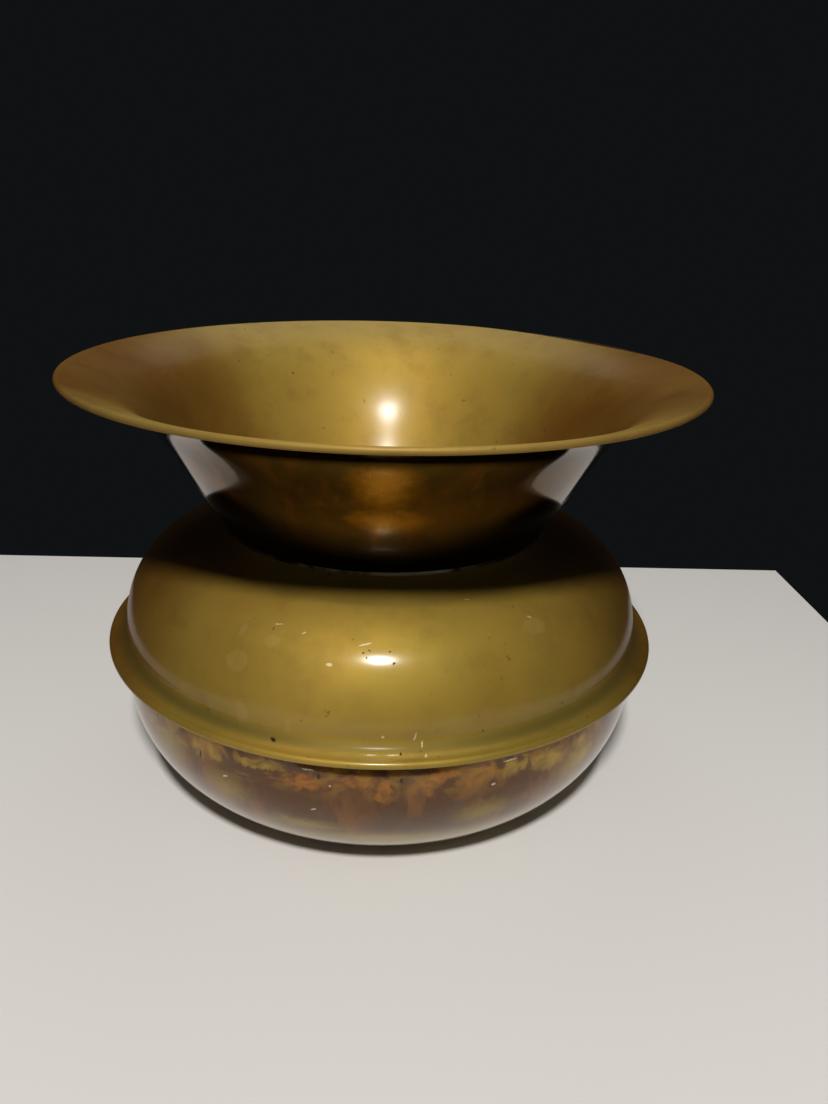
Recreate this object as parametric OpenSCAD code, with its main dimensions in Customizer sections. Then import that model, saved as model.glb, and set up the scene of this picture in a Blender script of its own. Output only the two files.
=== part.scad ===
// Brass spittoon: a spun sheet bowl with a lift-off top.
// The top is a flared mouth funnel soldered into a domed shoulder, whose foot turns out into
// a brim with a rolled, wired edge. A locating ring under the brim drops into the bowl's mouth.
// Z is up, the origin is the centre of the base on the table, and every piece is a body of
// revolution about Z. Lengths are millimetres.

/* [Mouth funnel] */
// Diameter over the rolled rim of the mouth
rim_d = 280; // [250:1:310]
// Height of the rim's top above the neck crease
mouth_h = 70; // [58:0.5:90]
// Slope of the funnel wall where it leaves the neck, in degrees
throat_slope = 57; // [50:0.5:64]
// Length of the nearly straight lower wall, as a curve handle
throat_lead = 56; // [40:1:66]
// Reach of the flared lip, as a curve handle
lip_reach = 36; // [28:0.5:42]
// Rise of the lip at the rolled rim, in degrees
lip_rise = 16; // [8:1:26]
// Diameter of the roll round the rim's wire
rim_roll_d = 2.8; // [2.4:0.1:4]

/* [Neck] */
// Diameter of the neck crease, where funnel and dome meet
neck_d = 149; // [136:1:156]
// Depth of the funnel's plain sleeve below the crease
sleeve_h = 8; // [4:0.5:12]
// Leg of the solder fillet in the neck crease
neck_solder_leg = 0.9; // [0.6:0.1:1.8]

/* [Dome] */
// Height of the neck crease above the brim's top face
dome_h = 51.6; // [44:0.2:60]
// Diameter of the dome's wall just above its foot
wall_d = 242; // [240:0.5:244]
// Height of the straight wall's foot above the brim's top face
wall_foot_h = 6.2; // [5:0.2:8]
// Width of the hollow collar between the neck crease and the shoulder
collar_w = 13; // [10:0.5:15]
// Drop of the collar from the neck crease to the shoulder
collar_drop = 7.1; // [6:0.1:9]
// Slope of the collar at the neck crease, in degrees
collar_slope = 48; // [40:1:54]
// Length of the collar's straight start at the neck crease, as a curve handle
collar_lead = 5.5; // [4:0.5:7]
// Length of its turn into the shoulder, as a curve handle
shoulder_lead = 3.7; // [2.5:0.1:5]
// Slope where the collar turns over into the shoulder, in degrees
shoulder_slope = 7; // [3:1:12]
// Fullness of the dome beside the shoulder, as a share of its width
shoulder_fullness = 0.74; // [0.5:0.01:0.85]
// Fullness of the dome above its wall, as a share of its height
wall_fullness = 0.37; // [0.3:0.01:0.6]
// Diameter over the brim's rolled edge
brim_d = 259; // [257:0.5:264]
// Diameter of the roll round the brim's wire
brim_roll_d = 3.2; // [2.8:0.1:4]

/* [Bowl] */
// Height of the bowl's flat seat flange
bowl_h = 65.8; // [60:0.2:72]
// Greatest diameter of the bowl
belly_d = 244; // [242:0.2:246]
// Height of the greatest diameter
belly_h = 46.3; // [43:0.1:49]
// Fullness of the wall below the greatest diameter, as a share of its height
belly_fullness = 0.43; // [0.35:0.01:0.6]
// Fullness of the wall where it leaves the base, as a share of its width
foot_fullness = 0.53; // [0.4:0.01:0.65]
// Outside diameter of the bowl's mouth, below the flange
mouth_d = 239; // [236:0.5:240]
// Lean of the wall inwards at the mouth, in degrees
mouth_lean = 9; // [6:1:14]
// Length of the nearly straight wall below the mouth, as a curve handle
mouth_lead = 9; // [6:0.5:11]
// Diameter of the flat that the bowl stands on
base_d = 168; // [160:1:174]
// Outside diameter of the seat flange
flange_d = 250.6; // [248:0.2:251.6]
// Diameter of the raised panel in the base
panel_d = 140; // [130:1:146]
// Rise of the panel above the table
panel_rise = 2; // [1:0.2:3]

/* [Ballast] */
// Thickness of the iron ballast disc
ballast_h = 8; // [5:0.5:11]
// Margin between the ballast disc and the edge of the raised panel
ballast_margin = 4; // [2:0.5:10]
// Leg of the solder fillet round the ballast cover
cover_solder_leg = 2; // [1:0.1:3]

/* [Sheet and fits] */
// Thickness of the brass sheet
sheet = 0.8; // [0.6:0.05:0.9]
// Thickness of the locating ring's sheet
ring_sheet = 0.8; // [0.6:0.05:1]
// Depth of the locating ring below the seat flange
ring_h = 9; // [6:0.5:12]
// Radial clearance of the locating ring in the bowl's mouth
ring_slip = 0.5; // [0.3:0.1:1]
// Radial play of each wire in its rolled edge, and of the cover in the bowl
play = 0.05; // [0.04:0.01:0.1]

/* [Hidden] */
$fn = 96;
// Straight steps in each drawn curve of a sheet's profile
curve_steps = 14;
// Share of a quarter arc's radius that a curve handle takes
arc_handle = 0.5523;
// Straight steps round each rolled edge
roll_steps = 20;
// Slit between a rolled edge's end and the sheet it starts from, in degrees
roll_slit = 10;

rim_roll_r = rim_roll_d / 2;
brim_roll_r = brim_roll_d / 2;
neck_r = neck_d / 2;
brim_z = bowl_h + ring_sheet + sheet;
neck_z = brim_z + dome_h;
rim_z = neck_z + mouth_h;
ring_r = mouth_d / 2 - sheet - ring_slip;
panel_top = panel_rise + sheet;
cover_z = panel_top + ballast_h;

function unit(v) = v / norm(v);
function polar(length, angle) = length * [cos(angle), sin(angle)];
function left_of(v) = [-v[1], v[0]];
function backwards(path) = [for (i = [len(path) - 1:-1:0]) path[i]];

// A cubic curve between a and d, pulled towards b and c, without its first point
function curve(a, b, c, d) = [
    for (i = [1:curve_steps]) let (t = i / curve_steps, s = 1 - t)
        s * s * s * a + 3 * s * s * t * b + 3 * s * t * t * c + t * t * t * d
];

// The path moved sideways by t to its left, with mitred corners
function beside(path, t) = let (last = len(path) - 1) [
    for (i = [0:last]) let (
        before = left_of(unit(path[max(i, 1)] - path[max(i, 1) - 1])),
        after = left_of(unit(path[min(i + 1, last)] - path[min(i + 1, last) - 1])),
        mitre = unit(before + after)
    ) path[i] + mitre * t / (mitre * before)
];

// A rolled edge, clockwise round its wire from the start angle, without its first point. The
// roll's outside has radius roll_r, the path itself radius r, and the end stops at a slit.
function roll(centre, roll_r, r, start) = let (
    turn = 360 - roll_slit - acos(1 - sheet / roll_r)
) [for (i = [1:roll_steps]) centre + polar(r, start - turn * i / roll_steps)];

// Radius of a rising path at a height
function radius_at(path, z) = lookup(z, [for (p = path) [p[1], p[0]]]);

// Centres of the rolled edges, whose sheet leaves them at the lip's and the brim's slope
rim_c = [rim_d / 2 - rim_roll_r, rim_z - rim_roll_r];
brim_c = [brim_d / 2 - brim_roll_r, brim_z - brim_roll_r];

// Outside of the funnel, from the sleeve's end up to the lip and on round the rim's wire
lip_end = rim_c + polar(rim_roll_r - sheet, 90 + lip_rise);
neck_p = [neck_r, neck_z];
funnel_path = concat(
    [neck_p - [0, sleeve_h], neck_p],
    curve(neck_p, neck_p + polar(throat_lead, throat_slope),
          lip_end - polar(lip_reach, lip_rise), lip_end),
    roll(rim_c, rim_roll_r, rim_roll_r - sheet, 90 + lip_rise)
);

// Outside of the dome, from the neck crease down and out to the brim and on round its wire
shoulder_p = neck_p + [collar_w, -collar_drop];
wall_p = [wall_d / 2, brim_z + wall_foot_h];
brim_p = brim_c + [0, brim_roll_r];
dome_path = concat(
    [neck_p],
    curve(neck_p, neck_p + polar(collar_lead, -collar_slope),
          shoulder_p - polar(shoulder_lead, -shoulder_slope), shoulder_p),
    curve(shoulder_p,
          shoulder_p + polar(shoulder_fullness * (wall_p[0] - shoulder_p[0]), -shoulder_slope),
          wall_p + [0, wall_fullness * (shoulder_p[1] - wall_p[1])], wall_p),
    curve(wall_p, wall_p - [0, arc_handle * wall_foot_h],
          brim_p - [arc_handle * wall_foot_h, 0], brim_p),
    roll(brim_c, brim_roll_r, brim_roll_r, 90)
);

// Outside of the bowl's wall, from the base up to the mouth, and the whole bowl with its flange
base_p = [base_d / 2, 0];
belly_p = [belly_d / 2, belly_h];
bend_r = 2 * sheet;
mouth_p = [mouth_d / 2, bowl_h - sheet - bend_r / 2];
wall_path = concat(
    [base_p],
    curve(base_p, base_p + [foot_fullness * (belly_p[0] - base_p[0]), 0],
          belly_p - [0, belly_fullness * belly_h], belly_p),
    curve(belly_p, belly_p + [0, arc_handle * (mouth_p[1] - belly_h)],
          mouth_p + polar(mouth_lead, mouth_lean - 90), mouth_p)
);
bowl_path = concat(
    [[0, panel_rise], [panel_d / 2 - panel_rise, panel_rise], [panel_d / 2 + panel_rise, 0]],
    wall_path,
    [[mouth_p[0] + bend_r / 2, bowl_h - sheet], [flange_d / 2, bowl_h - sheet]]
);
bowl_inside = beside(wall_path, sheet);
cover_r = radius_at(bowl_inside, cover_z) - play;

// A sheet of thickness t to the left of its path, or to the right when t is negative
module sheet_section(path, t) {
    polygon(concat(path, backwards(beside(path, t))));
}

// Wire that fills a rolled edge
module wire(centre, roll_r) {
    rotate_extrude() translate(centre) circle(r = roll_r - sheet - play);
}

// Funnel spun from one sheet, with a plain sleeve below the neck and a wired rim
module mouth_funnel() {
    color("#7a6428") rotate_extrude() sheet_section(funnel_path, sheet);
}

// Iron wire that stiffens the rim
module rim_wire() {
    color("#4b4640") wire(rim_c, rim_roll_r);
}

// Solder that fills the bottom of the neck crease
module neck_solder() {
    on_funnel = neck_p + neck_solder_leg * unit(funnel_path[2] - neck_p);
    on_dome = neck_p + neck_solder_leg * unit(dome_path[1] - neck_p);
    color("#a89a72") rotate_extrude() polygon([neck_p, on_dome, on_funnel]);
}

// Dome with its hollow collar, round shoulder, and a foot turned out into the wired brim. Its
// hole is trimmed to the funnel's sleeve.
module shoulder_dome() {
    color("#80702c") rotate_extrude() difference() {
        sheet_section(dome_path, -sheet);
        square([neck_r, rim_z]);
    }
}

// Iron wire that stiffens the brim
module brim_wire() {
    color("#4b4640") wire(brim_c, brim_roll_r);
}

// Ring of angle section under the brim: it lies on the seat flange and drops into the mouth
module locating_ring() {
    inner_r = ring_r - ring_sheet;
    seat_r = flange_d / 2;
    color("#8a7430") rotate_extrude() polygon([
        [inner_r, bowl_h - ring_h], [ring_r, bowl_h - ring_h], [ring_r, bowl_h],
        [seat_r, bowl_h], [seat_r, bowl_h + ring_sheet], [inner_r, bowl_h + ring_sheet]
    ]);
}

// Bowl spun from one sheet, with a raised panel in its base and a flange turned out at its mouth
module bowl() {
    color("#7c4f28") rotate_extrude() sheet_section(bowl_path, sheet);
}

// Iron disc that keeps the wide mouth from tipping the bowl
module ballast_disc() {
    color("#3c3a38") translate([0, 0, panel_top])
        cylinder(r = panel_d / 2 - ballast_margin, h = ballast_h);
}

// Brass floor over the ballast
module ballast_cover() {
    color("#80702c") translate([0, 0, cover_z])
        cylinder(r = cover_r, h = sheet);
}

// Solder round the edge of the ballast cover, up the bowl's wall
module cover_solder() {
    top = cover_z + sheet;
    wall_top = top + cover_solder_leg;
    color("#a89a72") rotate_extrude() polygon([
        [cover_r - cover_solder_leg, top], [radius_at(bowl_inside, top), top],
        [radius_at(bowl_inside, wall_top), wall_top]
    ]);
}

mouth_funnel();
rim_wire();
neck_solder();
shoulder_dome();
brim_wire();
locating_ring();
bowl();
ballast_disc();
ballast_cover();
cover_solder();
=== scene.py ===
import math

import bpy
from mathutils import Matrix, Vector, noise


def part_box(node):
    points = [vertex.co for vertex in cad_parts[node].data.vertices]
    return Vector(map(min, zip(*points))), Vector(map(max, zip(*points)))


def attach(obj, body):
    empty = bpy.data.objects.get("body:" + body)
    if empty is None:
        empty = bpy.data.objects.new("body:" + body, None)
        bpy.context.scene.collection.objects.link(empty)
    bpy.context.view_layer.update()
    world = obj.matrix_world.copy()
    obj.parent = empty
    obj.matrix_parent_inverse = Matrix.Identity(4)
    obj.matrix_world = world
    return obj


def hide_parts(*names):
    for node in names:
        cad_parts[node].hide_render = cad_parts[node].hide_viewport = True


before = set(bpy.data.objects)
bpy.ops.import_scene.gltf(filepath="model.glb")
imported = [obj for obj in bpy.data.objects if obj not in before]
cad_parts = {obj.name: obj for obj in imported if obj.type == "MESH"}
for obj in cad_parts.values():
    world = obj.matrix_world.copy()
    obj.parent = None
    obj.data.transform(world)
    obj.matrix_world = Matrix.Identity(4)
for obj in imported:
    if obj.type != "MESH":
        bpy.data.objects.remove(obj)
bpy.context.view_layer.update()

# Sizes of the sheet pieces, in metres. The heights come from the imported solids.
SHEET = 0.0008
BOWL_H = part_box("bowl")[1].z
NECK_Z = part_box("shoulder_dome")[1].z
BRIM_Z = BOWL_H + 2 * SHEET
RIM_R = 0.140
RIM_Z = NECK_Z + 0.070
RIM_ROLL = 0.0014
BRIM_R = 0.1295
BRIM_ROLL = 0.0016
NECK_R = 0.0745
SLEEVE_H = 0.008
WALL = (0.121, BRIM_Z + 0.0062)
BELLY = (0.122, 0.0463)
MOUTH = (0.1195, BOWL_H - 2 * SHEET)
BASE_R = 0.084
FLANGE_R = 0.1253
PANEL_R = 0.070
PANEL_RISE = 0.002

# Curve handles that give the profiles their fullness
ARC = 0.5523
THROAT_SLOPE = math.radians(57)
THROAT_LEAD = 0.056
LIP_REACH = 0.036
LIP_RISE = math.radians(16)
COLLAR = (0.013, -0.0071)
COLLAR_SLOPE = math.radians(-48)
COLLAR_LEAD = 0.0055
SHOULDER_SLOPE = math.radians(-7)
SHOULDER_LEAD = 0.0037
SHOULDER_FULLNESS = 0.74
WALL_FULLNESS = 0.37
BELLY_FULLNESS = 0.43
FOOT_FULLNESS = 0.53
MOUTH_LEAN = math.radians(9)
MOUTH_LEAD = 0.009
ROLL_SLIT = math.radians(10)

# Mesh fineness
CURVE_STEPS = 40
ROLL_STEPS = 26
AROUND = 256
EDGE_ANGLE = math.radians(40)


def polar(length, angle):
    return Vector((length * math.cos(angle), length * math.sin(angle)))


def curve(a, b, c, d, steps=CURVE_STEPS):
    """Points of a cubic curve after its first."""
    points = []
    for i in range(1, steps + 1):
        t = i / steps
        s = 1 - t
        points.append(s**3 * a + 3 * s * s * t * b + 3 * s * t * t * c + t**3 * d)
    return points


def straight(a, b, steps):
    return [a.lerp(b, i / steps) for i in range(1, steps + 1)]


def roll(centre, roll_r, r, start):
    """A rolled edge, clockwise round its wire, that stops at a slit before its own sheet."""
    turn = 2 * math.pi - ROLL_SLIT - math.acos(1 - SHEET / roll_r)
    return [centre + polar(r, start - turn * i / ROLL_STEPS) for i in range(1, ROLL_STEPS + 1)]


def beside(path, t):
    """The path moved sideways by t to its left, with mitred corners."""
    moved = []
    last = len(path) - 1
    for i, point in enumerate(path):
        before = (path[max(i, 1)] - path[max(i, 1) - 1]).normalized().orthogonal()
        after = (path[min(i + 1, last)] - path[min(i + 1, last) - 1]).normalized().orthogonal()
        mitre = (before + after).normalized()
        moved.append(point + mitre * t / mitre.dot(before))
    return moved


def lathe(name, outline, thickness, hole_r=0.0, dent=None):
    """A sheet of revolution. outline is its outer path, and the sheet lies to its left.

    Nothing of it reaches inside hole_r.

    Two attributes go with the mesh: arc, the distance along the path in metres, and side,
    0 on the outer path and 1 on the other. dent(x, y, z) gives each point's small shift.
    """
    other = [Vector((max(p.x, hole_r), p.y)) for p in beside(outline, thickness)]
    lengths = [0.0]
    for a, b in zip(outline, outline[1:]):
        lengths.append(lengths[-1] + (b - a).length)
    ring = list(zip(outline, lengths, [0.0] * len(outline)))
    ring += list(zip(other, lengths, [1.0] * len(other)))[::-1]
    verts, faces, arcs, sides, columns = [], [], [], [], []
    for point, arc, side in ring:
        on_axis = point.x < 1e-6
        column = []
        for k in range(1 if on_axis else AROUND):
            turn = 2 * math.pi * k / AROUND
            co = Vector((point.x * math.cos(turn), point.x * math.sin(turn), point.y))
            column.append(len(verts))
            verts.append(co + dent(co) if dent else co)
            arcs.append(arc)
            sides.append(side)
        columns.append(column)
    closed = columns[1:] + columns[:1]
    for lower, upper in zip(columns, closed):
        if len(lower) == len(upper) == 1:
            continue
        for k in range(AROUND):
            n = (k + 1) % AROUND
            corners = [lower[k % len(lower)], lower[n % len(lower)],
                       upper[n % len(upper)], upper[k % len(upper)]]
            faces.append(list(dict.fromkeys(corners)))
    mesh = bpy.data.meshes.new(name)
    mesh.from_pydata([tuple(v) for v in verts], [], faces)
    mesh.attributes.new("arc", "FLOAT", "POINT").data.foreach_set("value", arcs)
    mesh.attributes.new("side", "FLOAT", "POINT").data.foreach_set("value", sides)
    mesh.shade_smooth()
    mesh.set_sharp_from_angle(angle=EDGE_ANGLE)
    mesh.validate()
    piece = bpy.data.objects.new(name, mesh)
    bpy.context.scene.collection.objects.link(piece)
    return piece


def funnel_path():
    rim_c = Vector((RIM_R - RIM_ROLL, RIM_Z - RIM_ROLL))
    neck = Vector((NECK_R, NECK_Z))
    lip_end = rim_c + polar(RIM_ROLL - SHEET, math.pi / 2 + LIP_RISE)
    sleeve_end = neck - Vector((0, SLEEVE_H))
    path = [sleeve_end] + straight(sleeve_end, neck, 4)
    path += curve(neck, neck + polar(THROAT_LEAD, THROAT_SLOPE),
                  lip_end - polar(LIP_REACH, LIP_RISE), lip_end, 2 * CURVE_STEPS)
    return path + roll(rim_c, RIM_ROLL, RIM_ROLL - SHEET, math.pi / 2 + LIP_RISE)


def dome_path():
    brim_c = Vector((BRIM_R - BRIM_ROLL, BRIM_Z - BRIM_ROLL))
    neck = Vector((NECK_R, NECK_Z))
    shoulder = neck + Vector(COLLAR)
    wall = Vector(WALL)
    foot = wall.y - BRIM_Z
    brim = brim_c + Vector((0, BRIM_ROLL))
    path = [neck] + curve(neck, neck + polar(COLLAR_LEAD, COLLAR_SLOPE),
                          shoulder - polar(SHOULDER_LEAD, SHOULDER_SLOPE), shoulder, 16)
    path += curve(shoulder,
                  shoulder + polar(SHOULDER_FULLNESS * (wall.x - shoulder.x), SHOULDER_SLOPE),
                  wall + Vector((0, WALL_FULLNESS * (shoulder.y - wall.y))), wall)
    path += curve(wall, wall - Vector((0, ARC * foot)), brim - Vector((ARC * foot, 0)), brim, 20)
    return path + roll(brim_c, BRIM_ROLL, BRIM_ROLL, math.pi / 2)


def bowl_path():
    base = Vector((BASE_R, 0))
    belly = Vector(BELLY)
    mouth = Vector(MOUTH)
    rise = mouth.y - belly.y
    panel_in = Vector((PANEL_R - PANEL_RISE, PANEL_RISE))
    panel_out = Vector((PANEL_R + PANEL_RISE, 0))
    path = [Vector((0, PANEL_RISE))] + straight(Vector((0, PANEL_RISE)), panel_in, 16)
    path += straight(panel_in, panel_out, 3) + straight(panel_out, base, 4)
    path += curve(base, base + Vector((FOOT_FULLNESS * (belly.x - base.x), 0)),
                  belly - Vector((0, BELLY_FULLNESS * belly.y)), belly)
    path += curve(belly, belly + Vector((0, ARC * rise)),
                  mouth + polar(MOUTH_LEAD, MOUTH_LEAN - math.pi / 2), mouth, 16)
    bend = Vector((mouth.x + SHEET, BOWL_H - SHEET))
    return path + [bend] + straight(bend, Vector((FLANGE_R, BOWL_H - SHEET)), 4)


# Hand wear in the form of the sheets: slow dents, the rim's sag at the back right, and a ripple
# low at the funnel's back that draws its highlight out
SAG_TURN = math.radians(38)
SAG_WIDTH = math.radians(24)
SAG_DEPTH = 0.0016
RIPPLE_DEPTH = 0.0005
RIPPLE_LENGTH = 0.046
RIPPLE_Z = 0.124
RIPPLE_WIDTH = math.radians(35)
DENT_DEPTH = 0.00022
DENT_SIZE = 0.06


def dented(co):
    """The small shift of a point of the funnel or the dome."""
    away = math.atan2(co.y, co.x) - SAG_TURN
    flare = max(0.0, (math.hypot(co.x, co.y) - NECK_R) / (RIM_R - NECK_R)) ** 2
    high = 1.0 if co.z > NECK_Z else 0.0
    sag = SAG_DEPTH * high * flare * math.exp(-(away / SAG_WIDTH) ** 2)
    wave = DENT_DEPTH * (noise.noise(co / DENT_SIZE) - 0.5)
    behind = math.atan2(co.x, co.y)
    ripple = math.cos(2 * math.pi * (co.z - RIPPLE_Z) / RIPPLE_LENGTH)
    wave += RIPPLE_DEPTH * high * ripple * math.exp(-(behind / RIPPLE_WIDTH) ** 2)
    radial = Vector((co.x, co.y, 0)).normalized() if co.xy.length > 0.02 else Vector()
    return radial * wave - Vector((0, 0, sag))


funnel = lathe("spun_mouth", funnel_path(), SHEET, dent=dented)
dome = lathe("spun_dome", dome_path(), -SHEET, hole_r=NECK_R)
bowl = lathe("spun_bowl", bowl_path(), SHEET)

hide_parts("mouth_funnel")
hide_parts("shoulder_dome")
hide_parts("bowl")
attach(funnel, "lift_off_top")
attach(dome, "lift_off_top")
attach(bowl, "lower_bowl")


class Nodes:
    """A material's node tree, with short calls for the nodes that the finishes share."""

    def __init__(self, name):
        self.material = bpy.data.materials.new(name)
        self.material.use_nodes = True
        self.tree = self.material.node_tree
        self.shader = self.tree.nodes["Principled BSDF"]

    def put(self, socket, value):
        if isinstance(value, bpy.types.NodeSocket):
            self.tree.links.new(value, socket)
        else:
            socket.default_value = value

    def add(self, kind, inputs=(), output=0, **settings):
        node = self.tree.nodes.new(kind)
        for key, value in settings.items():
            setattr(node, key, value)
        for key, value in dict(inputs).items():
            self.put(node.inputs[key], value)
        return node.outputs[output]

    def math(self, operation, a, b=0.0, c=0.0):
        return self.add("ShaderNodeMath", {0: a, 1: b, 2: c}, operation=operation)

    def attribute(self, name):
        return self.add("ShaderNodeAttribute", output="Fac", attribute_name=name)

    def place(self):
        return self.add("ShaderNodeTexCoord", output="Object")

    def noise(self, vector, scale, detail=3.0, rough=0.5, distortion=0.0):
        return self.add("ShaderNodeTexNoise", {
            "Vector": vector, "Scale": scale, "Detail": detail,
            "Roughness": rough, "Distortion": distortion})

    def ramp(self, value, low, high, start=0.0, end=1.0):
        """value's range low to high becomes start to end, smoothly, and is held outside it."""
        return self.add("ShaderNodeMapRange", {
            "Value": value, "From Min": low, "From Max": high, "To Min": start, "To Max": end},
            interpolation_type="SMOOTHSTEP")

    def mix(self, share, a, b, blend="MIX"):
        node = self.tree.nodes.new("ShaderNodeMix")
        node.data_type = "RGBA"
        node.blend_type = blend
        self.put(node.inputs["Factor"], share)
        self.put(node.inputs[6], a)
        self.put(node.inputs[7], b)
        return node.outputs[2]

    def finish(self, **inputs):
        for key, value in inputs.items():
            self.put(self.shader.inputs[key.replace("_", " ")], value)
        return self.material


def rgb(r, g, b):
    return (r, g, b, 1.0)


# Colours of the brass, its tarnish and wear, and of its painted shade and highlight, linear
BRASS = rgb(0.43, 0.28, 0.05)
OLIVE = rgb(0.33, 0.235, 0.04)
AMBER = rgb(0.36, 0.19, 0.025)
BROWN = rgb(0.11, 0.06, 0.017)
DARK = rgb(0.04, 0.026, 0.010)
# Painted shade: the near-black that darkens the funnel's outside towards its neck
PAINTED_NECK_SHADE = rgb(0.012, 0.009, 0.004)
RUST = rgb(0.20, 0.085, 0.022)
UMBER = rgb(0.115, 0.050, 0.017)
MAUVE = rgb(0.12, 0.070, 0.045)
ORANGE = rgb(0.44, 0.17, 0.02)
GOLD = rgb(0.42, 0.28, 0.04)
GREEN = rgb(0.13, 0.105, 0.028)
PALE = rgb(0.95, 0.88, 0.62)
PIT = rgb(0.03, 0.024, 0.010)
EDGE = rgb(0.35, 0.18, 0.06)
# Wear on the funnel's lip and the dome's blotches, and the painted highlight along the dome's
# crease
WEAR_AND_HIGHLIGHT = rgb(0.52, 0.37, 0.10)
# Painted shade: the tint that darkens the left and right sides of the satin brass
SIDE_SHADE_TINT = rgb(0.54, 0.38, 0.33)
SHADE = rgb(0.19, 0.115, 0.025)

# Distances along the sheets' paths, in metres, over which a finish or a painted shade sets in
MOUTH_WORN = (0.060, 0.090)
RIM_BARE = (0.1044, 0.1058)
RIM_BROWN = (0.1050, 0.1064)
# Painted shade on the funnel's outside, darkening towards the neck
THROAT_PAINTED_SHADE = (0.048, 0.014)
THROAT_DULL = (0.042, 0.024)
# Painted shade on the dome's collar, under the funnel
COLLAR_PAINTED_SHADE = (0.018, 0.006)

# Heights on the bowl, in metres, over which its foot's patina ends and its upper band sets in
BOWL_FOOT = (0.014, 0.030)
BOWL_BAND = (0.040, 0.056)

# How far round to the side a surface must face for the painted side shade and for its lacquer to
# show, where 1 is the side
PAINTED_SHADE_SIDES = (0.62, 0.97)
LACQUERED_SIDES = (0.872, 0.902)

# Radius, in metres, at which the marks are laid out round the surfaces
MARK_R = 0.12

# Named marks on the surfaces: turn to the right of the front in degrees, height, half length
# and half width in mm, and slant in degrees
DOME_BLOTCHES = [(-29.5, 103.1, 2.0, 3.2, 0), (-22.3, 102.2, 4.0, 3.0, 0),
                 (-28.5, 93.8, 6.0, 5.0, 0), (-25.7, 75.7, 3.0, 5.6, 0),
                 (-16.5, 74.4, 1.5, 4.0, 0), (34.0, 104.0, 7.0, 4.0, 10)]
DOME_SCRATCHES = [(-22.3, 106.5, 2.4, 0.35, -12), (-16.2, 105.5, 1.2, 0.5, -30),
                  (-3.3, 104.2, 3.4, 0.4, -14), (-9.8, 97.9, 1.6, 0.8, 0),
                  (22.2, 111.8, 2.0, 0.4, 10), (34.1, 106.5, 1.6, 0.5, 30),
                  (6.2, 73.4, 0.4, 2.2, 18), (7.4, 70.6, 0.35, 1.7, 6), (7.8, 67.8, 0.5, 1.0, 12),
                  (0.5, 73.4, 0.7, 0.7, 0), (-1.6, 68.1, 2.6, 0.3, 0), (2.2, 68.1, 3.0, 0.35, 0)]
DOME_PITS = [(-3.6, 101.9, 0.5, 0.5, 0), (-2.4, 102.6, 0.7, 0.4, 20), (-2.9, 100.6, 0.4, 0.6, 0),
             (2.4, 99.2, 0.9, 0.6, -25), (1.6, 102.4, 0.5, 0.4, 0), (-18.9, 68.9, 1.6, 0.9, 30),
             (3.6, 68.3, 0.4, 0.9, 0)]
DOME_FILLET = [(0.0, 69.6, 900.0, 4.5, 0)]
# Painted highlight: a lighter line along the dome's crease, round the front
DOME_CREASE_HIGHLIGHT = [(0.0, 67.9, 90.0, 1.8, 0)]
MOUTH_PITS = [(178.5, 147.9, 0.7, 0.5, 20), (-150.0, 166.0, 0.8, 0.6, 0)]
# Amber patina on the funnel's outside at the front, partly a painted reflection of the dome's lit
# front
FLARE_PATINA_AND_REFLECTION = [(0.0, 165.0, 20.0, 19.0, 0), (2.0, 148.0, 28.0, 8.0, 0)]
FLARE_CUTS = [(-62.0, 168.0, 0.5, 5.0, 20), (-58.0, 160.0, 0.4, 4.0, -15),
              (-66.0, 172.0, 3.0, 0.5, 0), (64.0, 166.0, 0.5, 3.0, 10)]
BOWL_ORANGE = [(-4.3, 53.6, 9.0, 3.2, 0), (-13.9, 51.0, 11.0, 4.4, 0), (11.5, 54.6, 8.0, 2.8, 0),
               (18.5, 52.8, 10.0, 4.0, 0), (1.0, 49.0, 4.0, 7.0, 0), (8.0, 50.0, 5.0, 4.0, 0)]
BOWL_GOLD = [(-22.2, 54.4, 13.0, 3.0, 4), (-34.4, 52.3, 10.0, 6.0, 0), (26.3, 53.5, 8.0, 5.0, 20),
             (34.0, 51.0, 12.0, 6.0, 0), (44.0, 47.0, 10.0, 9.0, 0)]
BOWL_STAINS = [(20.0, 34.0, 18.0, 9.0, 0), (-14.0, 28.0, 26.0, 6.0, 0), (0.0, 22.0, 40.0, 6.0, 0),
               (-30.0, 38.0, 16.0, 12.0, 0), (-46.0, 46.0, 18.0, 12.0, 0),
               (42.0, 42.0, 18.0, 12.0, 0)]
BOWL_PITS = [(-10.9, 54.4, 0.9, 1.6, 0), (-36.0, 49.5, 0.8, 2.2, 0), (4.0, 54.5, 0.6, 1.3, 0)]
BOWL_SPECKS = [(-8.8, 50.8, 0.6, 0.5, 0), (-12.0, 38.5, 1.5, 0.5, 25), (-30.0, 44.0, 1.6, 0.5, 25),
               (21.5, 47.5, 1.1, 0.6, 0), (25.0, 56.2, 4.0, 0.35, 0), (-13.0, 56.4, 3.0, 0.35, 0)]


def around(n, across, along):
    """A place on a turned surface: across counts the way round it, along the way up its profile."""
    parts = n.add("ShaderNodeSeparateXYZ", {0: n.place()}, output="X").node.outputs
    flat = n.add("ShaderNodeCombineXYZ", {0: parts["X"], 1: parts["Y"], 2: 0.0})
    unit = n.add("ShaderNodeVectorMath", {0: flat}, operation="NORMALIZE")
    wide = n.add("ShaderNodeVectorMath", {0: unit, "Scale": across}, operation="SCALE")
    lift = n.add("ShaderNodeCombineXYZ", {2: n.math("MULTIPLY", n.attribute("arc"), along)})
    return n.add("ShaderNodeVectorMath", {0: wide, 1: lift}, operation="ADD")


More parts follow.
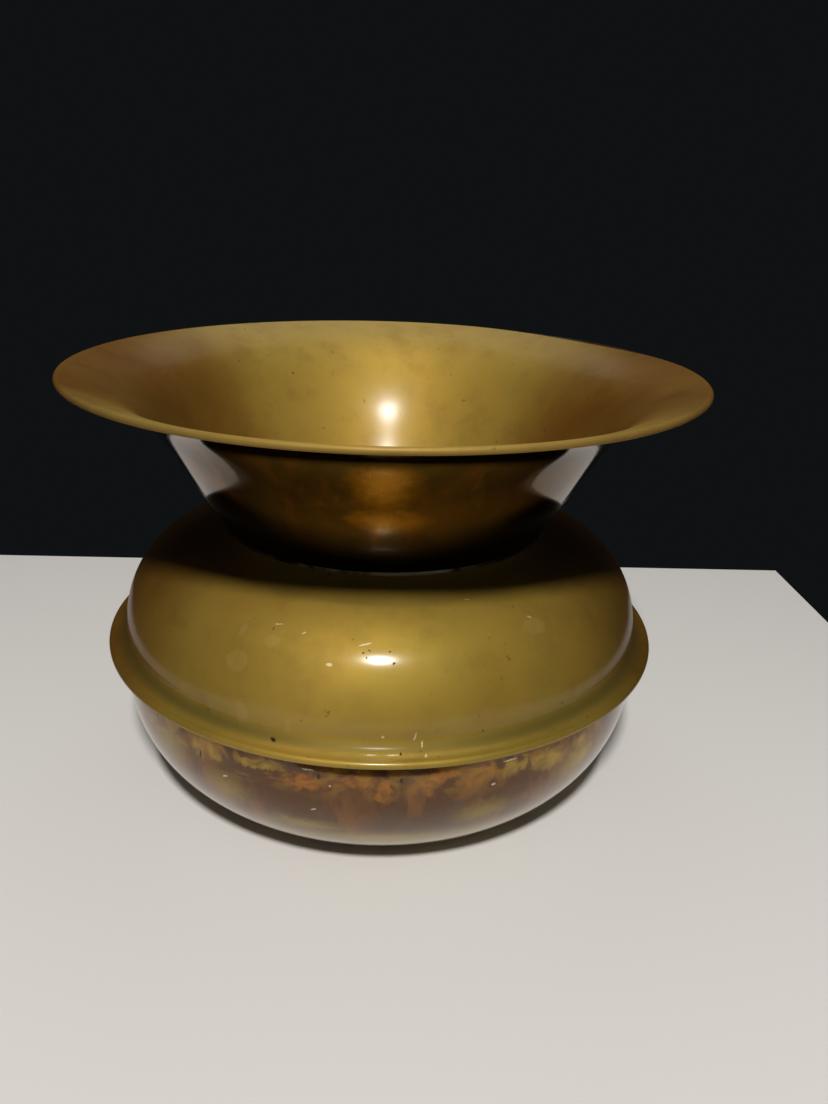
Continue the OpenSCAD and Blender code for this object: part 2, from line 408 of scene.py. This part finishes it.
def unrolled(n, ragged):
    """Millimetres round the surface from its front and along its profile, shaken by a noise."""
    parts = n.add("ShaderNodeSeparateXYZ", {0: n.place()}, output="X").node.outputs
    turn = n.math("ARCTAN2", parts["X"], n.math("MULTIPLY", parts["Y"], -1.0))
    flat = n.add("ShaderNodeCombineXYZ", {0: n.math("MULTIPLY", turn, MARK_R * 1000),
                                          1: n.math("MULTIPLY", n.attribute("arc"), 1000)})
    shake = n.add("ShaderNodeTexNoise", {"Vector": n.place(), "Scale": 0.6 / (ragged / 1000),
                                         "Detail": 3.0}, output="Color")
    shift = n.add("ShaderNodeVectorMath", {0: shake, 1: (0.5, 0.5, 0.5)}, operation="SUBTRACT")
    shift = n.add("ShaderNodeVectorMath", {0: shift, "Scale": 4 * ragged}, operation="SCALE")
    flatten = n.add("ShaderNodeVectorMath", {0: shift, 1: (1, 1, 0)}, operation="MULTIPLY")
    return n.add("ShaderNodeVectorMath", {0: flat, 1: flatten}, operation="ADD")


def arc_at(path, z):
    """Distance along a path, in mm, to where it first passes a height."""
    arc = 0.0
    for a, b in zip(path, path[1:]):
        if min(a.y, b.y) <= z <= max(a.y, b.y) and a.y != b.y:
            return 1000 * (arc + (b - a).length * (z - a.y) / (b.y - a.y))
        arc += (b - a).length
    raise ValueError(z)


def marks(n, flat, path, spots, soft=0.5):
    """A mask of the named marks."""
    mask = None
    for turn, height, half_length, half_width, slant in spots:
        centre = (math.radians(turn) * MARK_R * 1000, arc_at(path, height / 1000), 0)
        local = n.add("ShaderNodeMapping", {
            "Vector": flat, "Location": centre, "Rotation": (0, 0, math.radians(slant)),
            "Scale": (half_length, half_width, 1)}, vector_type="TEXTURE")
        away = n.add("ShaderNodeVectorMath", {0: local}, output="Value", operation="LENGTH")
        spot = n.ramp(away, 1.0, soft)
        mask = spot if mask is None else n.math("MAXIMUM", mask, spot)
    return mask


def spun_bump(n, haze, strength, dents=None):
    """Fine turning lines, pits and slow waves in the sheet, as one bump."""
    lines = n.noise(around(n, 0.6, 1.0), 700.0, 2.0)
    pits = n.ramp(n.noise(n.place(), 420.0, 4.0), 0.66, 0.8, 0.0, -0.7)
    height = n.math("MULTIPLY_ADD", lines, 0.25, pits)
    height = n.math("MULTIPLY_ADD", haze, 1.2, height)
    if dents is not None:
        height = n.math("SUBTRACT", height, dents)
    return n.add("ShaderNodeBump", {"Height": height, "Strength": strength, "Distance": 0.0002})


def turning(n):
    return n.add("ShaderNodeTangent", direction_type="RADIAL", axis="Z")


def lacquer(n, weight, rough):
    """Old clear lacquer over the metal."""
    n.put(n.shader.inputs["Coat Weight"], weight)
    n.put(n.shader.inputs["Coat Roughness"], rough)
    n.shader.inputs["Coat IOR"].default_value = 1.5


def specks(n, scale, low, high):
    """Fine scattered specks."""
    return n.ramp(n.noise(n.place(), scale, 2.0, 0.6), low, high)


def sideways(n, low, high):
    """A mask of the surface's left and right sides, from 0 at low to 1 at high."""
    parts = n.add("ShaderNodeSeparateXYZ", {0: n.place()}, output="X").node.outputs
    turn = n.math("ARCTAN2", parts["X"], parts["Y"])
    return n.ramp(n.math("ABSOLUTE", n.math("SINE", turn)), low, high)


def satin_brass(n, colour, haze):
    """The worn satin surface of the funnel's inside and the dome, over a base colour.

    Its fine turning lines stretch a highlight up and down, and painted shade browns its sides.
    """
    n.shader.inputs["Anisotropic"].default_value = 0.35
    n.shader.inputs["Anisotropic Rotation"].default_value = 0.25
    n.shader.inputs["Specular Tint"].default_value = EDGE
    colour = n.mix(n.ramp(haze, 0.45, 0.75, 0.0, 0.4), colour, AMBER)
    tarnish = n.ramp(n.noise(n.place(), 60.0, 4.0, 0.65), 0.45, 0.75, 0.0, 0.28)
    colour = n.mix(tarnish, colour, SHADE)
    # Painted shade: the left and right sides are darkened
    side_shade = n.math("MULTIPLY", sideways(n, *PAINTED_SHADE_SIDES), n.ramp(haze, 0.2, 0.6, 0.8, 1.0))
    colour = n.mix(side_shade, colour, SIDE_SHADE_TINT, "MULTIPLY")
    return n.mix(n.math("MULTIPLY", specks(n, 300.0, 0.7, 0.76), 0.6), colour, BROWN)


def mouth_brass():
    """The funnel's inside and its rolled rim."""
    n = Nodes("mouth_brass")
    haze = n.noise(n.place(), 24.0, 5.0, 0.6)
    slow = n.noise(n.place(), 9.0, 3.0, 0.5)
    pits = marks(n, unrolled(n, 0.3), funnel_path(), MOUTH_PITS)
    arc = n.attribute("arc")
    colour = n.mix(n.ramp(slow, 0.35, 0.65), BRASS, OLIVE)
    colour = n.mix(n.ramp(arc, *MOUTH_WORN, 0.0, 0.6), colour, WEAR_AND_HIGHLIGHT)
    colour = n.mix(n.ramp(arc, *RIM_BROWN, 0.0, 0.4), satin_brass(n, colour, haze), RUST)
    rough = n.math("MULTIPLY_ADD", haze, 0.1, 0.6)
    lacquer(n, n.ramp(arc, *RIM_BARE, 0.35, 0.05), 0.22)
    return n.finish(Base_Color=n.mix(pits, colour, PIT), Metallic=0.6, Roughness=rough,
                    Tangent=turning(n), Normal=spun_bump(n, haze, 0.2, pits))


def flare_brass():
    """The funnel's tarnished, polished outside."""
    n = Nodes("flare_brass")
    path = funnel_path()
    haze = n.noise(n.place(), 24.0, 5.0, 0.6)
    smears = n.noise(around(n, 5.0, 26.0), 1.0, 4.0, 0.55, 0.3)
    cuts = marks(n, unrolled(n, 0.5), path, FLARE_CUTS, 0.4)
    colour = n.mix(n.ramp(haze, 0.42, 0.62, 0.0, 0.8), BROWN, DARK)
    colour = n.mix(n.ramp(smears, 0.5, 0.64, 0.0, 0.5), colour, RUST)
    # Amber patina at the front, which is also a painted reflection of the dome's lit front
    patina_and_reflection = n.math("MULTIPLY", marks(n, unrolled(n, 2.0), path, FLARE_PATINA_AND_REFLECTION, 0.1),
                  n.ramp(haze, 0.3, 0.6))
    colour = n.mix(patina_and_reflection, colour, AMBER)
    # Painted shade: the outside grows darker towards the neck
    colour = n.mix(n.ramp(n.attribute("arc"), *THROAT_PAINTED_SHADE, 0.0, 0.97), colour, PAINTED_NECK_SHADE)
    rough = n.math("MULTIPLY_ADD", haze, 0.1, 0.02)
    rough = n.math("MULTIPLY_ADD", patina_and_reflection, 0.25, rough)
    rough = n.math("ADD", rough, n.ramp(n.attribute("arc"), *THROAT_DULL, 0.0, 0.25))
    n.shader.inputs["Anisotropic"].default_value = 0.2
    kept = n.math("MULTIPLY_ADD", sideways(n, *LACQUERED_SIDES), 0.85, 0.1)
    bare = n.math("MULTIPLY_ADD", n.math("MAXIMUM", cuts, patina_and_reflection), -0.9, 1.0)
    lacquer(n, n.math("MULTIPLY", kept, bare), 0.03)
    return n.finish(Base_Color=n.mix(cuts, colour, PIT), Metallic=1.0, Roughness=rough,
                    Tangent=turning(n), Normal=spun_bump(n, haze, 0.12, cuts))


def dome_brass():
    """Olive satin dome, with painted shade under the funnel, a painted crease highlight and a
    greener brim hollow.
    """
    n = Nodes("dome_brass")
    path = dome_path()
    haze = n.noise(n.place(), 22.0, 5.0, 0.6)
    slow = n.noise(n.place(), 8.0, 3.0, 0.5)
    fine = unrolled(n, 0.3)
    coarse = unrolled(n, 1.0)
    pits = marks(n, fine, path, DOME_PITS)
    cuts = marks(n, fine, path, DOME_SCRATCHES, 0.6)
    colour = satin_brass(n, n.mix(n.ramp(slow, 0.35, 0.65), BRASS, OLIVE), haze)
    blotches = marks(n, coarse, path, DOME_BLOTCHES, 0.7)
    colour = n.mix(n.math("MULTIPLY", blotches, 0.3), colour, WEAR_AND_HIGHLIGHT)
    fillet = marks(n, fine, path, DOME_FILLET, 0.0)
    colour = n.mix(n.math("MULTIPLY", fillet, 0.7), colour, GREEN)
    # Painted highlight: a lighter line along the crease, round the front
    crease_highlight = n.math("MULTIPLY", marks(n, fine, path, DOME_CREASE_HIGHLIGHT, 0.0), n.ramp(haze, 0.4, 0.6))
    colour = n.mix(n.math("MULTIPLY", crease_highlight, 0.5), colour, WEAR_AND_HIGHLIGHT)
    # Painted shade: darker on the collar under the funnel
    colour = n.mix(n.ramp(n.attribute("arc"), *COLLAR_PAINTED_SHADE, 0.0, 0.25), colour, DARK)
    colour = n.mix(n.math("MULTIPLY", cuts, 0.45), colour, PALE)
    colour = n.mix(pits, colour, PIT)
    rough = n.math("MULTIPLY_ADD", haze, 0.1, 0.6)
    dull = n.math("MAXIMUM", pits, fillet)
    lacquer(n, n.math("MULTIPLY_ADD", dull, -0.45, 0.52), 0.18)
    return n.finish(Base_Color=colour, Metallic=0.7, Roughness=rough, Tangent=turning(n),
                    Normal=spun_bump(n, haze, 0.22, n.math("ADD", pits, cuts)))


def bowl_brass():
    """The bowl's polished red-brown patina, with orange and gold stains under the brim."""
    n = Nodes("bowl_brass")
    path = bowl_path()
    haze = n.noise(n.place(), 26.0, 5.0, 0.6)
    streaks = n.noise(around(n, 8.0, 30.0), 1.0, 4.0, 0.6, 0.4)
    flakes = n.noise(around(n, 9.0, 110.0), 1.0, 2.0, 0.45, 1.2)
    height = n.add("ShaderNodeSeparateXYZ", {0: n.place()}, output="Z")
    fine = unrolled(n, 0.3)
    coarse = unrolled(n, 1.6)
    pits = marks(n, fine, path, BOWL_PITS)
    chips = marks(n, fine, path, BOWL_SPECKS, 0.6)
    colour = n.mix(n.ramp(streaks, 0.44, 0.6), UMBER, RUST)
    colour = n.mix(n.ramp(haze, 0.5, 0.62, 0.0, 0.8), colour, MAUVE)
    low = n.math("MULTIPLY", n.ramp(height, *BOWL_FOOT, 0.8, 0.0), n.ramp(haze, 0.30, 0.6))
    colour = n.mix(low, colour, OLIVE)
    band = n.ramp(height, *BOWL_BAND)
    colour = n.mix(n.math("MULTIPLY", band, n.ramp(flakes, 0.46, 0.62, 0.0, 0.6)), colour, AMBER)
    colour = n.mix(n.math("MULTIPLY", marks(n, coarse, path, BOWL_STAINS, 0.0), 0.7), colour, OLIVE)
    broken = n.ramp(n.noise(around(n, 14.0, 160.0), 1.0, 3.0, 0.6, 0.6), 0.28, 0.72, 0.0, 0.9)
    colour = n.mix(n.math("MULTIPLY", marks(n, coarse, path, BOWL_GOLD), broken), colour, GOLD)
    colour = n.mix(n.math("MULTIPLY", marks(n, coarse, path, BOWL_ORANGE), broken), colour, ORANGE)
    colour = n.mix(n.math("MULTIPLY", chips, 0.5), n.mix(pits, colour, PIT), PALE)
    rough = n.math("MULTIPLY_ADD", haze, 0.1, 0.14)
    n.shader.inputs["Anisotropic"].default_value = 0.2
    lacquer(n, 0.75, 0.05)
    return n.finish(Base_Color=colour, Metallic=1.0, Roughness=rough, Tangent=turning(n),
                    Normal=spun_bump(n, haze, 0.2, pits))


def dull_metal(name, colour, stain, rough):
    """The bare, stained metal of the solid pieces."""
    n = Nodes(name)
    haze = n.noise(n.place(), 60.0, 5.0, 0.65)
    grain = n.noise(n.place(), 700.0, 3.0)
    n.shader.inputs["Metallic"].default_value = 1.0
    bump = n.add("ShaderNodeBump", {"Height": grain, "Strength": 0.3, "Distance": 0.0002})
    return n.finish(Base_Color=n.mix(n.ramp(haze, 0.4, 0.65), colour, stain),
                    Roughness=n.ramp(haze, 0.3, 0.7, rough, rough + 0.2), Normal=bump)


def dress(piece, *materials):
    piece.data.materials.clear()
    for material in materials:
        piece.data.materials.append(material)


def paint_outside(piece, path_end):
    """Give the second material to the outer side of a sheet, up to a distance along its path."""
    arcs = [item.value for item in piece.data.attributes["arc"].data]
    sides = [item.value for item in piece.data.attributes["side"].data]
    for face in piece.data.polygons:
        outer = all(sides[v] == 0.0 and arcs[v] <= path_end for v in face.vertices)
        face.material_index = 1 if outer else 0


def path_length(path):
    return sum((b - a).length for a, b in zip(path, path[1:]))


dress(funnel, mouth_brass(), flare_brass())
# The outside ends two steps into the rim's roll
paint_outside(funnel, path_length(funnel_path()[:2 - ROLL_STEPS]))
dress(dome, dome_brass())
dress(bowl, bowl_brass())
inside_brass = dull_metal("inside_brass", OLIVE, BROWN, 0.35)
solder = dull_metal("solder", rgb(0.26, 0.26, 0.22), DARK, 0.4)
iron = dull_metal("iron", rgb(0.12, 0.10, 0.09), rgb(0.10, 0.045, 0.02), 0.5)
dress(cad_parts["locating_ring"], inside_brass)
dress(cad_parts["ballast_cover"], inside_brass)
dress(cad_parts["neck_solder"], solder)
dress(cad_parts["cover_solder"], solder)
for node in ("rim_wire", "brim_wire", "ballast_disc"):
    dress(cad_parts[node], iron)

# Camera, fitted to the photograph's rim, neck, brim and outlines. Lengths are in metres.
CAMERA_X = 0.0
CAMERA_BACK = 2.868 * RIM_R
CAMERA_UP = 0.517 * RIM_R
PITCH = math.radians(22.07)
ROLL = math.radians(1.96)
YAW = math.radians(2.09)
FOCAL_PX = 893
FRAME_PX = 1104
SENSOR_MM = 36
NEAREST = 0.01


def place_camera():
    ahead = Vector((math.sin(YAW) * math.cos(PITCH), math.cos(YAW) * math.cos(PITCH),
                    -math.sin(PITCH)))
    right = ahead.cross(Vector((0, 0, 1))).normalized()
    up = right.cross(ahead)
    tilted_right = math.cos(ROLL) * right + math.sin(ROLL) * up
    tilted_up = -math.sin(ROLL) * right + math.cos(ROLL) * up
    data = bpy.data.cameras.new("photo_camera")
    data.lens = FOCAL_PX / FRAME_PX * SENSOR_MM
    data.sensor_width = SENSOR_MM
    data.clip_start = NEAREST
    camera = bpy.data.objects.new("photo_camera", data)
    bpy.context.scene.collection.objects.link(camera)
    turn = Matrix((tilted_right, tilted_up, -ahead)).transposed().to_4x4()
    place = Vector((CAMERA_X, -CAMERA_BACK, RIM_Z + CAMERA_UP))
    camera.matrix_world = Matrix.Translation(place) @ turn
    bpy.context.scene.camera = camera


LAMP_AIM = Vector((0, 0, 0.1))


def lamp(name, width, distance, bearing, height, power, colour):
    """A soft round lamp. Bearing is from the viewer's side, positive to the right."""
    data = bpy.data.lights.new(name, "AREA")
    data.shape = "DISK"
    data.size = width
    data.energy = power
    data.color = colour
    lamp_object = bpy.data.objects.new(name, data)
    way = Vector((math.sin(bearing) * math.cos(height), -math.cos(bearing) * math.cos(height),
                  math.sin(height)))
    lamp_object.location = LAMP_AIM + distance * way
    lamp_object.rotation_euler = way.to_track_quat("Z", "Y").to_euler()
    bpy.context.scene.collection.objects.link(lamp_object)


place_camera()
lamp("key", width=0.18, distance=1.6, bearing=math.radians(-1), height=math.radians(51.3),
     power=24, colour=(1.0, 0.98, 0.95))
lamp("back", width=1.2, distance=1.8, bearing=math.radians(180), height=math.radians(50),
     power=2.2, colour=(1.0, 1.0, 1.0))

# Colours of the room: what the camera and the metal see, and the light that fills the shadows
BACKDROP = rgb(0.005, 0.006, 0.0065)
FILL = rgb(0.10, 0.10, 0.10)


def room():
    """A dark room that the camera and the metal see, and a soft fill for everything else."""
    world = bpy.data.worlds.new("studio")
    world.use_nodes = True
    nodes, links = world.node_tree.nodes, world.node_tree.links
    rays = nodes.new("ShaderNodeLightPath").outputs
    seen = rays["Is Camera Ray"]
    for kind in ("Is Glossy Ray", "Is Transmission Ray"):
        either = nodes.new("ShaderNodeMath")
        either.operation = "MAXIMUM"
        links.new(seen, either.inputs[0])
        links.new(rays[kind], either.inputs[1])
        seen = either.outputs[0]
    mix = nodes.new("ShaderNodeMix")
    mix.data_type = "RGBA"
    links.new(seen, mix.inputs["Factor"])
    mix.inputs[6].default_value = FILL
    mix.inputs[7].default_value = BACKDROP
    links.new(mix.outputs[2], nodes["Background"].inputs["Color"])
    bpy.context.scene.world = world


room()

# A square pale floor, in metres, whose far edge shows behind the object
FLOOR_HALF = 0.30
FLOOR_SHIFT = -0.08
FLOOR_COLOUR = rgb(0.72, 0.70, 0.67)
FLOOR_ROUGH = 0.9


def make_floor():
    mesh = bpy.data.meshes.new("floor")
    h = FLOOR_HALF
    near, far = FLOOR_SHIFT - h, FLOOR_SHIFT + h
    mesh.from_pydata([(-h, near, 0), (h, near, 0), (h, far, 0), (-h, far, 0)], [], [(0, 1, 2, 3)])
    floor = bpy.data.objects.new("floor", mesh)
    bpy.context.scene.collection.objects.link(floor)
    n = Nodes("pale_floor")
    floor.data.materials.append(n.finish(Base_Color=FLOOR_COLOUR, Roughness=FLOOR_ROUGH))


make_floor()
bpy.context.scene.view_settings.view_transform = "Standard"
